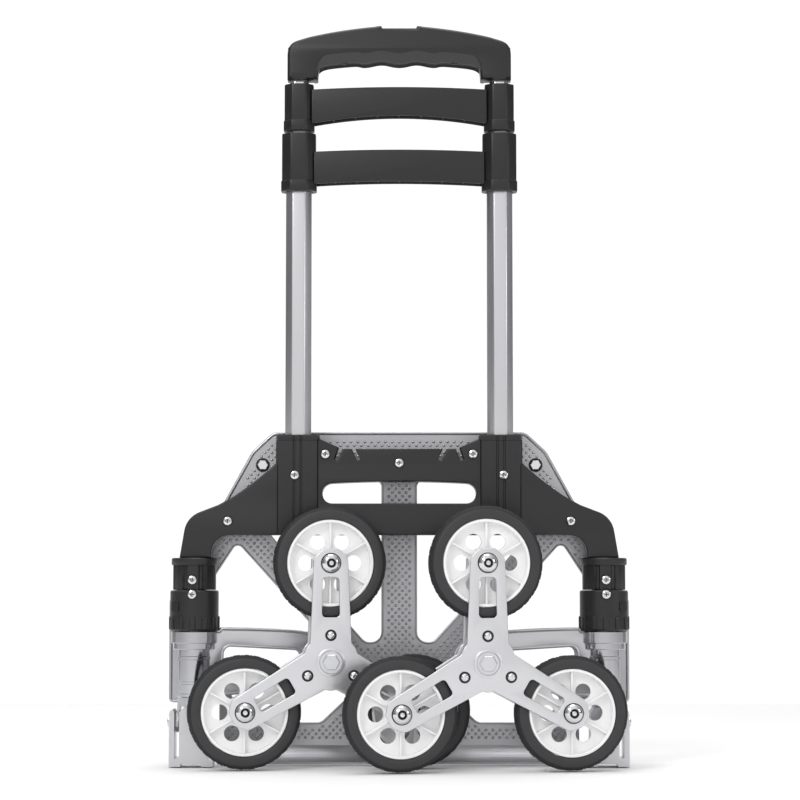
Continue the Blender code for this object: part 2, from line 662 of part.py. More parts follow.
def build_wheel(name, x, z, holder):
    low, high = WHEEL_MIDDLE - WHEEL_HALF, WHEEL_MIDDLE + WHEEL_HALF
    edge, inside, boss, bore = RIM_R - GAP, RIM_R - 3.8 * MM, 11 * MM, AXLE_R + RUN
    web = (WHEEL_MIDDLE + 2.5 * MM, WHEEL_MIDDLE - 2.5 * MM)
    profile = [(edge, high - MM), (edge, low + MM), (inside, low + MM), (inside, web[1]), (boss, web[1]),
               (boss, low + 2 * MM), (bore, low + 2 * MM), (bore, high - 2 * MM), (boss, high - 2 * MM),
               (boss, web[0]), (inside, web[0]), (inside, high - MM)]
    rim = part(turned, f"rim_{name}", profile, steps=WHEEL_STEPS, look="white_plastic", facing="FRONT")
    for k in range(6):
        hole = turned(f"hole_{name}_{k}", shaft(8 * MM, low, high), 8, facing="FRONT")
        turn = math.radians(60 * k)
        hole.data.transform(Matrix.Translation((25.7 * MM * math.cos(turn), 0, 25.7 * MM * math.sin(turn))))
        cut(rim, hole)
    tread = [(WHEEL_R - 3 * MM, high), (WHEEL_R, high - 4 * MM), (WHEEL_R, low + 4 * MM),
             (WHEEL_R - 3 * MM, low), (RIM_R, low), (RIM_R, high)]
    tyre = part(turned, f"tyre_{name}", tread, steps=WHEEL_STEPS, look="tyre", facing="FRONT")
    back, front = INNER_SHEET - GAP, OUTER_SHEET + STAR_SHEET + GAP
    bolt = [(0, front + 5.5 * MM), (10 * MM, front + 2.5 * MM), (10 * MM, front), (AXLE_R, front),
            (AXLE_R, back), (6 * MM, back), (6 * MM, back - 1.2 * MM), (0, back - 1.2 * MM)]
    axle = part(turned, f"axle_{name}", bolt, steps=10, look="chrome", facing="FRONT")
    for piece in (rim, tyre, axle, *[step.object for step in rim.modifiers]):
        move(piece, x=x, z=z).parent = holder


# ---------------------------------------------------------------- whole truck

def main():
    clear_scene()
    new_collection(PARTS)
    new_collection(CUTTERS)
    for name, (colour, roughness, metallic) in LOOKS.items():
        material(name, colour, roughness, metallic)

    build_yoke()
    build_tubes()
    build_braces()
    build_grip()
    build_button()
    for side, word in ((-1, "left"), (1, "right")):
        build_leg(side, word)
        build_foot(side, word)
    build_toe_plate()
    for thing in list(bpy.data.objects):
        thing.location.y += LEG_Y

    for side, word, turn in ((-1, "left", LEFT_FOLD), (1, "right", RIGHT_FOLD)):
        holder = pivot(f"arm_pivot_{word}", side * LEG_X, LEG_Y, 0, turn)
        build_swing_arm(side, word, holder)
        build_cluster(side, word, holder)


main()
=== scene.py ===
"""Looks for the folding stair-climbing hand truck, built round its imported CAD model.

Lengths are given in millimetres and turned into metres by the helpers. Y is measured from the plane
of the legs, towards the back, unless a helper says otherwise.
"""

import functools
import math

import bmesh
import bpy
from mathutils import Matrix, Vector


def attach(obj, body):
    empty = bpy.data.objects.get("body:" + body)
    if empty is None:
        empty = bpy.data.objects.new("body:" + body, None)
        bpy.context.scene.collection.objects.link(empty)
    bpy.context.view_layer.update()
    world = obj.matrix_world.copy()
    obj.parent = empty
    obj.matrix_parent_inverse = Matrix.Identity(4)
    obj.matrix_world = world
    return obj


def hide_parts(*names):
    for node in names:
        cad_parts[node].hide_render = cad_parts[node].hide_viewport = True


MM = 0.001
LEG_X, LEG_Y, TUBE_X = 222, 32.3, 110
HUB_Z, ARM_REACH, STAR_R = 113, 140.7, 105
INNER_SHEET, OUTER_SHEET, STAR_SHEET = 44.5, 70.5, 3
WHEEL_MIDDLE = 59
PLATE_Y, SHEET = 36, 3
FOLD = 8  # degrees that each wheel arm is turned past square when folded
SIDES = ((-1, "left"), (1, "right"))

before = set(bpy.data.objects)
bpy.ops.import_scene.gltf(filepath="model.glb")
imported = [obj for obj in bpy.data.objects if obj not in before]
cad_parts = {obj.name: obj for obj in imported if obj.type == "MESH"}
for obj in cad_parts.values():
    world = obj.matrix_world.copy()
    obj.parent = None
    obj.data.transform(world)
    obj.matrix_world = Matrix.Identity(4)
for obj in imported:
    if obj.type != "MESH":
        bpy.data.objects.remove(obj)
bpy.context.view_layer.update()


# ---------------------------------------------------------------- materials

def linear(text):
    """A colour given as six hex digits, as linear red, green and blue."""
    values = [int(text[i:i + 2], 16) / 255 for i in (0, 2, 4)]
    return [v / 12.92 if v <= 0.04045 else ((v + 0.055) / 1.055) ** 2.4 for v in values]


def finish(name, colour, roughness, metallic=0.0, grain=0.0, scale=900, stretch=(1, 1, 1), uneven=0.0):
    """A plain surface with fine grain in its height and slight unevenness in its roughness."""
    look = bpy.data.materials.new(name)
    look.use_nodes = True
    nodes, links = look.node_tree.nodes, look.node_tree.links
    shader = nodes["Principled BSDF"]
    shader.inputs["Base Color"].default_value = (*linear(colour), 1)
    shader.inputs["Roughness"].default_value = roughness
    shader.inputs["Metallic"].default_value = metallic
    look.diffuse_color = (*linear(colour), 1)
    if grain or uneven:
        spot = nodes.new("ShaderNodeTexCoord")
        turn = nodes.new("ShaderNodeMapping")
        turn.inputs["Scale"].default_value = stretch
        links.new(spot.outputs["Object"], turn.inputs["Vector"])
    if grain:
        noise = nodes.new("ShaderNodeTexNoise")
        noise.inputs["Scale"].default_value = scale
        noise.inputs["Detail"].default_value = 3
        bump = nodes.new("ShaderNodeBump")
        bump.inputs["Strength"].default_value = grain
        bump.inputs["Distance"].default_value = 0.0003
        links.new(turn.outputs["Vector"], noise.inputs["Vector"])
        links.new(noise.outputs["Fac"], bump.inputs["Height"])
        links.new(bump.outputs["Normal"], shader.inputs["Normal"])
    if uneven:
        cloud = nodes.new("ShaderNodeTexNoise")
        cloud.inputs["Scale"].default_value = 40
        spread = nodes.new("ShaderNodeMapRange")
        spread.inputs["To Min"].default_value = roughness - uneven
        spread.inputs["To Max"].default_value = roughness + uneven
        links.new(turn.outputs["Vector"], cloud.inputs["Vector"])
        links.new(cloud.outputs["Fac"], spread.inputs["Value"])
        links.new(spread.outputs["Result"], shader.inputs["Roughness"])
    return look


BLACK = finish("black_plastic_look", "131315", 0.4, grain=0.25, scale=1500, uneven=0.05)
# Near-black painted shade, for holes, recesses and the crevices round heads and rivets.
PAINTED_SHADE = finish("painted_shade_look", "0a0a0b", 0.6)
GREY = finish("grey_plastic_look", "29292b", 0.5, grain=0.2, scale=1500)
WHITE = finish("white_plastic_look", "ececec", 0.38, uneven=0.05)
SIDEWALL = finish("tyre_sidewall_look", "2c2c2e", 0.55, grain=0.2, scale=1200)
# The tread material is a darker copy of the sidewall rubber: painted shade on the tyre's rounded outer band.
SHADED_TREAD = finish("tyre_tread_shade_look", "1a1a1c", 0.7, grain=0.3, scale=1200)
TUBE = finish("tube_look", "c9c9cc", 0.3, metallic=1.0, grain=0.12, scale=700, stretch=(1, 1, 0.03))
SHEET_METAL = finish("sheet_look", "b4b4b7", 0.42, metallic=1.0, grain=0.15, scale=500, uneven=0.05)
CAST = finish("cast_look", "c6c6c9", 0.34, metallic=1.0, grain=0.2, scale=600, uneven=0.06)
STAR = finish("star_look", "d4d4d7", 0.34, metallic=1.0, grain=0.35, scale=1100, uneven=0.04)
SLEEVE = finish("sleeve_look", "bcbcc0", 0.14, metallic=1.0)
CHROME = finish("chrome_look", "d8d8da", 0.12, metallic=1.0)
SPRING = finish("spring_look", "8c8c90", 0.3, metallic=1.0)


# ---------------------------------------------------------------- outlines, in millimetres

def arc(centre, radius, start, end, count):
    """Points on an arc, from start to end in degrees, both included."""
    turns = [math.radians(start + (end - start) * i / (count - 1)) for i in range(count)]
    return [(centre[0] + radius * math.cos(t), centre[1] + radius * math.sin(t)) for t in turns]


def circle(centre, radius, count=32):
    return arc(centre, radius, 0, 360 - 360 / count, count)


def rounded(corners, count=7):
    """A closed outline from (x, z, radius) corners, each rounded by count points."""
    points = []
    for i, (x, z, radius) in enumerate(corners):
        corner = Vector((x, z))
        if radius == 0:
            points.append((x, z))
            continue
        before = (Vector(corners[i - 1][:2]) - corner).normalized()
        after = (Vector(corners[(i + 1) % len(corners)][:2]) - corner).normalized()
        half = before.angle(after) / 2
        centre = corner + (before + after).normalized() * radius / math.sin(half)
        begin = corner + before * radius / math.tan(half) - centre
        sweep = -(math.pi - 2 * half) * math.copysign(1, before.cross(after))
        for k in range(count):
            spot = centre + Matrix.Rotation(sweep * k / (count - 1), 2) @ begin
            points.append((spot.x, spot.y))
    return points


def mirrored(points):
    return [(-x, z) for x, z in reversed(points)]


def both_halves(half):
    """A whole outline from its right half, whose first and last points are on x = 0."""
    return half + [(-x, z) for x, z in reversed(half[1:-1])]


def smooth(points, rounds=2):
    """An open line with its corners cut off, again and again."""
    for _ in range(rounds):
        line = [points[0]]
        for a, b in zip(points, points[1:]):
            line.append((0.75 * a[0] + 0.25 * b[0], 0.75 * a[1] + 0.25 * b[1]))
            line.append((0.25 * a[0] + 0.75 * b[0], 0.25 * a[1] + 0.75 * b[1]))
        points = line + [points[-1]]
    return points


# ---------------------------------------------------------------- solids

def settle(mesh, angle=32):
    """Welds a mesh, turns its faces outwards and smooths all but its sharp edges."""
    work = bmesh.new()
    work.from_mesh(mesh)
    bmesh.ops.remove_doubles(work, verts=work.verts, dist=0.01 * MM)
    bmesh.ops.recalc_face_normals(work, faces=work.faces)
    work.to_mesh(mesh)
    work.free()
    mesh.shade_smooth()
    mesh.set_sharp_from_angle(angle=math.radians(angle))


LEGS = Matrix.Translation((0, LEG_Y * MM, 0))
FOLDED = Matrix.Rotation(math.radians(FOLD), 4, "Z")
HOLDERS = {side: Matrix.Translation((side * LEG_X * MM, LEG_Y * MM, 0)) @ FOLDED for side, _ in SIDES}


def piece(name, mesh, look, body, where=LEGS, stands_for=()):
    """Puts a finished mesh in place on its body. where is a matrix in metres."""
    thing = bpy.data.objects.new(name, mesh)
    if look and not mesh.materials:
        mesh.materials.append(look)
    bpy.context.scene.collection.objects.link(thing)
    thing.matrix_world = where
    bpy.context.view_layer.update()
    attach(thing, body)
    if stands_for:
        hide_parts(*stands_for)
    return thing


def curve_mesh(curve, turn=None):
    guide = bpy.data.objects.new("guide", curve)
    bpy.context.scene.collection.objects.link(guide)
    bpy.context.view_layer.update()
    mesh = bpy.data.meshes.new_from_object(guide.evaluated_get(bpy.context.evaluated_depsgraph_get()))
    bpy.data.objects.remove(guide)
    if turn:
        mesh.transform(turn)
    settle(mesh)
    return mesh


def slab(outlines, low, high, edge=0.6, plane="XZ"):
    """A flat outline with holes and rounded edges: along Y for XZ, Z for XY and X for YZ."""
    curve = bpy.data.curves.new("slab", "CURVE")
    curve.dimensions = "2D"
    curve.fill_mode = "BOTH"
    curve.extrude = (high - low) / 2 * MM - edge * MM
    curve.bevel_depth = edge * MM
    curve.offset = -edge * MM
    curve.bevel_resolution = 2
    for points in outlines:
        spline = curve.splines.new("POLY")
        spline.points.add(len(points) - 1)
        for point, (x, y) in zip(spline.points, points):
            point.co = (x * MM, y * MM, 0, 1)
        spline.use_cyclic_u = True
    middle = (low + high) / 2 * MM
    if plane == "XZ":
        turn = Matrix.Translation((0, middle, 0)) @ Matrix.Rotation(math.pi / 2, 4, "X")
    elif plane == "YZ":
        turn = Matrix(((0, 0, 1, middle), (1, 0, 0, 0), (0, 1, 0, 0), (0, 0, 0, 1)))
    else:
        turn = Matrix.Translation((0, 0, middle))
    return curve_mesh(curve, turn)


def bead(routes, radius, closed=True, rounds=3):
    """Round wires along lists of (x, y, z) points."""
    curve = bpy.data.curves.new("bead", "CURVE")
    curve.dimensions = "3D"
    curve.bevel_depth = radius * MM
    curve.bevel_resolution = rounds
    curve.use_fill_caps = True
    for route in routes:
        spline = curve.splines.new("POLY")
        spline.points.add(len(route) - 1)
        for point, spot in zip(spline.points, route):
            point.co = (*[v * MM for v in spot], 1)
        spline.use_cyclic_u = closed
    return curve_mesh(curve)


def lathe(profile, steps=48, facing="FRONT", angle=32):
    """A closed profile of (radius, height), turned round -Y for FRONT, Z for UP or +X for SIDE."""
    work = bmesh.new()
    rings = []
    for radius, height in profile:
        if radius == 0:
            rings.append([work.verts.new((0, 0, height * MM))] * steps)
            continue
        ring = []
        for k in range(steps):
            turn = math.tau * k / steps
            spot = (radius * MM * math.cos(turn), radius * MM * math.sin(turn), height * MM)
            ring.append(work.verts.new(spot))
        rings.append(ring)
    spans = list(zip(rings, rings[1:]))
    if profile[0][0] != 0:
        spans.append((rings[-1], rings[0]))
    for lower, upper in spans:
        for k in range(steps):
            j = (k + 1) % steps
            corners = [lower[k], lower[j], upper[j], upper[k]]
            corners = [v for i, v in enumerate(corners) if v not in corners[:i]]
            if len(corners) > 2:
                work.faces.new(corners)
    mesh = bpy.data.meshes.new("lathe")
    work.to_mesh(mesh)
    work.free()
    if facing == "FRONT":
        mesh.transform(Matrix.Rotation(math.pi / 2, 4, "X"))
    elif facing == "SIDE":
        mesh.transform(Matrix.Rotation(math.pi / 2, 4, "Y"))
    settle(mesh, angle)
    return mesh


def merged(meshes):
    """One mesh from several (mesh, matrix) pairs."""
    work = bmesh.new()
    for mesh, matrix in meshes:
        copy = mesh.copy()
        copy.transform(matrix)
        work.from_mesh(copy)
        bpy.data.meshes.remove(copy)
    mesh = bpy.data.meshes.new("merged")
    work.to_mesh(mesh)
    work.free()
    mesh.shade_smooth()
    mesh.set_sharp_from_angle(angle=math.radians(32))
    return mesh


def at(x=0.0, y=0.0, z=0.0):
    return Matrix.Translation((x * MM, y * MM, z * MM))


def block(low, high, edge=0.6):
    """A box between two corners, with rounded upright edges and softened ends."""
    outline = [(low[0], low[1]), (high[0], low[1]), (high[0], high[1]), (low[0], high[1])]
    return slab([outline], low[2], high[2], edge, "XY")


# ---------------------------------------------------------------- yoke

def yoke_half():
    half = [(0, 342), (47.5, 342), (42, 330.5), (45.5, 329), (51.5, 342), (61.5, 342), (66.5, 329),
            (70.5, 330.5), (65.8, 343.5), (86, 352.5), (88.5, 356.7), (133.5, 356.7), (133.5, 326)]
    half += smooth([(133.5, 326), (140, 320), (153, 309.2), (176, 291.9), (196, 281)])[1:]
    half += rounded([(196, 281, 0), (230, 268, 26), (237.4, 224, 0)], 9)[1:]
    half += [(203, 224)] + arc((183, 228.5), 20, 0, 90, 10) + [(0, 248.5)]
    return half


def build_yoke():
    slot = arc((72.6, 293.6), 11, -90, 90, 12)
    slot += [(x, 304.6 + 2 * (1 - (x / 72.6) ** 2)) for x in range(60, -61, -12)]
    slot += arc((-72.6, 293.6), 11, 90, 270, 12)
    for name, low, high in (("front", -15, 0), ("rear", 0, 15)):
        shell = slab([both_halves(yoke_half()), slot], low, high, 1.6)
        piece(f"yoke_{name}", shell, BLACK, "frame", stands_for=[f"yoke_{name}_shell"])
    for side, word in SIDES:
        grooves = []
        for middle in (-3.8, 3.8):
            grooves += [(middle - 1.3, -18), (middle - 0.8, -16.4),
                        (middle + 0.8, -16.4), (middle + 1.3, -18)]
        front = [(-22.6, -14), (-21, -18)] + grooves + [(21, -18), (22.6, -14)]
        ring = [(side * TUBE_X + x, y) for x, y in front] + [(side * TUBE_X - x, -y) for x, y in front]
        bore = tube_section(TUBE_HALF, (side * TUBE_X, 0), -0.5)
        piece(f"yoke_socket_{word}", slab([ring, bore], 248.8, 356.4, 0.5, "XY"), BLACK, "frame")
        piece(f"yoke_collar_{word}", slab([[(side * TUBE_X + x * 1.03, y * 1.03) for x, y in front] +
                                           [(side * TUBE_X - x * 1.03, -y * 1.03) for x, y in front], bore],
                                          350.5, 356.9, 0.8, "XY"), BLACK, "frame")
    screws = ((80, 336, -15), (113, 313.2, -18), (185.5, 263.6, -15), (222.5, 200, -24), (222.5, 184.5, -26))
    for x, z, y in screws:
        for side, word in SIDES:
            screw(f"screw_{word}_{z:.0f}", side * x, y, z, "frame")
    screw("screw_middle", 0, -15, 326.4, "frame")


@functools.cache
def screw_meshes():
    """The head, a dark ring of painted shade round it where it sits, and its cross recess, also painted
    shade, made once.
    """
    head = lathe([(0, -1), (5, -1), (5, 0.6), (4.4, 1.7), (3, 2.4), (2.3, 2.5), (1.7, 1.2), (0, 1.1)], 28)
    ring = lathe([(0, -0.5), (6.1, -0.5), (6.1, 0.25), (0, 0.25)], 28)
    upright = Matrix.Rotation(math.pi / 2, 4, "X")
    bars = (block((-1.9, -0.45, 0), (1.9, 0.45, 1.6), 0.1), block((-0.45, -1.9, 0), (0.45, 1.9, 1.6), 0.1))
    return head, ring, merged([(bar, upright) for bar in bars])


def screw(name, x, y, z, body, size=1.0):
    """A pan head with its cross recess and the ring round it in painted shade, facing the wheel side."""
    where = LEGS @ at(x, y, z) @ Matrix.Scale(size, 4)
    for mesh, look, word in zip(screw_meshes(), (CHROME, PAINTED_SHADE, PAINTED_SHADE), ("head", "seat", "recess")):
        piece(f"{name}_{word}", mesh, look, body, where)


# ---------------------------------------------------------------- handle

TUBE_HALF = (14.1, 12)


def tube_section(half, centre, inset):
    """A rounded section with flat sides, made smaller all round by inset."""
    wide, deep = half[0] - inset, half[1] - inset
    flat_x, flat_y, soft = 0.47 * wide, 0.42 * deep, 0.25 * deep
    corners = [(flat_x, -deep, soft), (wide, -flat_y, soft), (wide, flat_y, soft), (flat_x, deep, soft)]
    corners += [(-x, y, r) for x, y, r in reversed(corners)]
    return [(centre[0] + x, centre[1] + y) for x, y in rounded(corners, 5)]


def build_tubes():
    stages = (("outer_tube", 257, 686, 0, "frame"), ("mid_tube", 263, 741, 1.8, "mid_stage"),
              ("inner_tube", 300, 774, 3.6, "handle"))
    for stage, low, high, inset, body in stages:
        for side, word in SIDES:
            centre = (side * TUBE_X, 0)
            rings = [tube_section(TUBE_HALF, centre, inset), tube_section(TUBE_HALF, centre, inset + 1.4)]
            look = CHROME if stage == "inner_tube" else TUBE
            thing = piece(f"{stage}_{word}_skin", slab(rings, low, high, 0.2, "XY"), look, body,
                          stands_for=[f"{stage}_{word}"])


def bowed(reach, low, rise, count=24):
    """A line across the truck that rises by rise in the middle."""
    return [(-reach + 2 * reach * i / count, low + rise * (1 - (2 * i / count - 1) ** 2))
            for i in range(count + 1)]


def build_brace(name, low, high, half, band, sag, tube_inset, body):
    """Two collars and a bowed band that is hollow from below, with ribs and a sheet in the hollow in painted
    shade.
    """
    for side, word in SIDES:
        centre = (side * TUBE_X, 0)
        bore = tube_section(TUBE_HALF, centre, tube_inset - 0.35)
        steps = ((low, low + 12, 0.9), (low + 11, high, 0))
        for number, (bottom, top, grow) in enumerate(steps):
            ring = tube_section((half[0] + grow, half[1] + grow), centre, 0)
            piece(f"{name}_collar_{word}_{number}", slab([ring, bore], bottom, top, 1.2, "XY"), BLACK, body)
    reach = TUBE_X - half[0] + 2
    lower, upper = bowed(reach, band[0], sag[0]), bowed(reach, band[1], sag[1])
    for number, (near, far) in enumerate(((-11, -8.2), (8.2, 11))):
        options = {"stands_for": [name]} if number == 0 else {}
        piece(f"{name}_wall_{number}", slab([lower + upper[::-1]], near, far, 0.9), BLACK, body, **options)
    inner = [(x, z - 3.2) for x, z in upper]
    piece(f"{name}_top", slab([upper + inner[::-1]], -10.5, 10.5, 0.6), BLACK, body)
    # The ribs and a sheet inside the hollow are near-black: painted shade in the hollow underside.
    ribs = []
    for k in range(-3, 4):
        x = k * reach / 4
        middle = band[0] + sag[0] * (1 - (x / reach) ** 2)
        ribs.append((block((x - 0.8, -8.4, middle + 1.5), (x + 0.8, 8.4, middle + 14), 0.2), at()))
    piece(f"{name}_ribs", merged(ribs), PAINTED_SHADE, body)
    shade_sheet = [(x, z + 13) for x, z in lower]
    piece(f"{name}_floor", slab([shade_sheet + [(x, z + 1) for x, z in shade_sheet[::-1]]], -8.6, 8.6, 0.2), PAINTED_SHADE, body)


def grip_inside(rise):
    """The grip's inner edge from the right leg to the left leg, with finger dips, moved up by rise."""
    corner = [(95.8 - rise, 748), (95.8 - rise, 752.5), (93.2 - 0.8 * rise, 758.5 + 0.5 * rise),
              (87.5 - 0.5 * rise, 764 + 0.9 * rise), (80, 766.6 + rise), (66, 768.3 + rise),
              (50, 769.6 + rise)]
    edge = smooth(corner)
    for x in range(46, -47, -2):
        fade = min(1, (48 - abs(x)) / 8)
        edge.append((x, 769.7 - 1.4 * fade * math.cos(math.tau * x / 38.8) + rise))
    return edge + [(-x, z) for x, z in reversed(smooth(corner))]


def build_grip():
    outside = smooth([(-122.8, 748), (-122.8, 770), (-122.8, 779), (-120.4, 786), (-115, 790.5),
                      (-105, 793.5), (-97, 796), (-70.3, 801.4), (-45, 805), (-26, 807)])
    outside += [(-23.5, 807.6), (-20, 807.8), (-18.4, 805.2)]
    outline = outside + [(-x, z) for x, z in reversed(outside)] + grip_inside(6.5)
    piece("grip_body", slab([outline], -13.5, 13.5, 4.2), BLACK, "handle", stands_for=["handle_grip"])
    lower, upper = grip_inside(0), grip_inside(6.8)
    trim = [p for p in lower if p[1] > 753] + [p for p in reversed(upper) if p[1] > 762]
    piece("grip_insert", slab([trim], -12.6, 12.6, 3), GREY, "handle", stands_for=["handle_insert"])
    for side, word in SIDES:
        ring = tube_section((13.2, 13), (side * 109.3, 0), 0)
        piece(f"grip_leg_{word}", slab([ring], 747.4, 785, 1.5, "XY"), BLACK, "handle")
        # A dark disc in each grip hole: painted shade inside the hole.
        hole = lathe([(0, 0.5), (3.6, 0.5), (3.6, 2), (0, 2)], 20, "UP")
        piece(f"grip_hole_shade_{word}", hole, PAINTED_SHADE, "handle", LEGS @ at(side * 61, 0, 766.6))
    outline = smooth([(-17.6, 797), (-17.6, 804), (-15.5, 805), (0, 804.4), (15.5, 805), (17.6, 804),
                      (17.6, 797)], 1)
    piece("button_cap", slab([outline], -6.8, 6.8, 1.2), GREY, "button", stands_for=["release_button"])


def build_handle():
    build_tubes()
    build_brace("lower_brace", 624.4, 688.4, (18.6, 16.5), (632.3, 667.9), (3, 2.3), 0, "frame")
    build_brace("upper_brace", 691.2, 743.2, (16, 14.5), (699, 736.8), (9, 2.8), 1.8, "mid_stage")
    build_grip()


# ---------------------------------------------------------------- legs and feet

def repaint(node, look, edge=0.0):
    """Gives a CAD node its look, and rounds its edges where edge is given in millimetres."""
    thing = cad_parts[node]
    thing.data.materials.clear()
    thing.data.materials.append(look)
    if edge:
        bevel = thing.modifiers.new("edge", "BEVEL")
        bevel.width = edge * MM
        bevel.segments = 2
        bevel.limit_method = "ANGLE"
        bevel.angle_limit = math.radians(35)
        bevel.use_clamp_overlap = True
        bevel.harden_normals = True


def build_legs():
    for side, word in SIDES:
        x = side * LEG_X
        repaint(f"leg_tube_{word}", TUBE)
        repaint(f"return_spring_{word}", SPRING)
        socket = []
        for k in range(8):
            turn = 45 * k
            socket += arc((0, 0), 23.3, turn - 15, turn + 15, 5) + arc((0, 0), 21.2, turn + 19, turn + 26, 3)
        bore = circle((0, 0), 11.4)
        body = slab([socket, bore], 189.3, 223.7, 0.9, "XY")
        piece(f"socket_ribs_{word}", body, BLACK, "frame", LEGS @ at(x), [f"leg_socket_{word}"])
        lip = lathe([(11.4, 216), (24.4, 216), (25, 217), (25, 222.6), (24, 223.8), (11.4, 223.8)], 48, "UP")
        piece(f"socket_lip_{word}", lip, BLACK, "frame", LEGS @ at(x))
        shell = [(11.4, 188.8), (25, 188.8), (26.2, 187.4), (26.2, 147.2), (25, 145.4), (21.5, 145.4),
                 (21.5, 183), (11.4, 183)]
        housing = lathe(shell, 56, "UP")
        piece(f"housing_shell_{word}", housing, BLACK, "frame", LEGS @ at(x), [f"spring_housing_{word}"])
        flutes = []
        for k in range(12):
            turn = math.radians(30 * k)
            rib = slab([rounded([(-3.2, 146.2, 2.4), (3.2, 146.2, 2.4), (3.2, 161, 2.4),
                                 (-3.2, 161, 2.4)], 5)], -27.4, -24.4, 1.1)
            flutes.append((rib, Matrix.Rotation(turn, 4, "Z")))
        piece(f"housing_flutes_{word}", merged(flutes), BLACK, "frame", LEGS @ at(x))
        # A dark patch on the housing: painted shade seen through its window.
        window = slab([rounded([(-6, 166, 2), (6, 166, 2), (6, 177, 2), (-6, 177, 2)], 5)], -26.6, -25.6, 0.2)
        spin = Matrix.Rotation(math.radians(side * 48), 4, "Z")
        piece(f"housing_window_shade_{word}", window, PAINTED_SHADE, "frame", LEGS @ at(x) @ spin)
        repaint(f"foot_bracket_{word}", CAST, 0.7)
        repaint(f"hinge_pin_{word}", CHROME)


# ---------------------------------------------------------------- toe plate

def plate_half():
    return rounded([(0, 17.6, 0), (197, 17.6, 0), (197, 68, 4), (250.5, 68, 3), (250.5, 177, 10),
                    (190.4, 286.7, 20),
                    (161, 340, 22), (138, 361.4, 14), (0, 361.4, 0)], 8)


def side_cutout():
    return rounded([(18.4, 310, 8), (18.4, 131, 12), (38, 131, 12), (112, 213, 12), (150, 258, 12),
                    (150, 310, 12)], 8)


def low_cutout():
    return rounded([(85, 43.5, 12), (38, 88, 6), (139.4, 200, 6), (178.5, 243, 7), (213, 190, 10),
                    (213, 130, 14), (170, 43.5, 12)], 8)


def inside(point, outline):
    """Whether a point lies within a closed outline."""
    x, z = point
    found = False
    for (ax, az), (bx, bz) in zip(outline, outline[1:] + outline[:1]):
        if (az > z) != (bz > z) and x < (bx - ax) * (z - az) / (bz - az) + ax:
            found = not found
    return found


def distance(point, outline):
    """Distance from a point to the nearest edge of a closed outline."""
    spot = Vector(point)
    best = 1e9
    for a, b in zip(outline, outline[1:] + outline[:1]):
        start, along = Vector(a), Vector(b) - Vector(a)
        if along.length == 0:
            continue
        share = max(0, min(1, (spot - start).dot(along) / along.length_squared))
        best = min(best, (start + along * share - spot).length)
    return best


def bump_spots():
    """Where the raised bumps are, in staggered rows, on the right half and its mirror image."""
    whole, holes = both_halves(plate_half()), [side_cutout(), low_cutout()]
    spots = []
    row = 0
    z = 24.0
    while z < 357:
        x = 0.0 if row % 2 == 0 else 3.8
        while x < 246:
            clear = inside((x, z), whole) and distance((x, z), whole) > 8
            clear = clear and not any(inside((x, z), hole) or distance((x, z), hole) < 4.5 for hole in holes)
            if clear:
                spots.append((x, z))
                if x > 0:
                    spots.append((-x, z))
            x += 7.6
        z += 4.0
        row += 1
    return spots


def build_toe_plate():
    repaint("toe_plate", SHEET_METAL)
    face = PLATE_Y - SHEET / 2
    work = bmesh.new()
    for x, z in bump_spots():
        rings = []
        for radius, height in ((1.75, -0.1), (1.2, 0.5), (0.5, 0.75)):
            ring = []
            for k in range(8):
                turn = math.tau * k / 8
                spot = Vector((x + radius * math.cos(turn), face - height, z + radius * math.sin(turn))) * MM
                ring.append(work.verts.new(spot))
            rings.append(ring)
        for lower, upper in zip(rings, rings[1:]):
            for k in range(8):
                work.faces.new((lower[k], lower[(k + 1) % 8], upper[(k + 1) % 8], upper[k]))
        work.faces.new(rings[-1])
        work.faces.new(rings[0][::-1])
    bumps = bpy.data.meshes.new("bumps")
    work.to_mesh(bumps)
    work.free()
    bumps.shade_smooth()
    piece("plate_bumps", bumps, SHEET_METAL, "toe_plate_body")
    rolled = [(x, face + 0.4, z) for x, z in both_halves(plate_half()) if z > 60]
    piece("plate_border", bead([rolled], 1.9, closed=False), SHEET_METAL, "toe_plate_body")
    rings = []
    for hole in (side_cutout(), low_cutout()):
        rings += [[(s * x, face + 0.5, z) for x, z in hole] for s in (-1, 1)]
    piece("plate_hole_edges", bead(rings, 1.3), SHEET_METAL, "toe_plate_body")
    for side, word in SIDES:
        head = lathe([(0, -3.5), (3, -3.5), (3, 0), (5.9, 0), (5.9, 3.2), (5.2, 3.9), (0, 3.9)], 6)
        # The dark disc under each bolt head is painted shade round the bolt.
        seat = lathe([(0, 0), (7.6, 0), (7.6, 0.9), (0, 0.9)], 28)
        where = LEGS @ at(side * 150.5, face - 0.3, 326.4)
        piece(f"plate_bolt_head_{word}", head, CHROME, "toe_plate_body", where, [f"plate_bolt_{word}"])
        piece(f"plate_bolt_seat_{word}", seat, PAINTED_SHADE, "toe_plate_body", where)


# ---------------------------------------------------------------- arms, stars and wheels

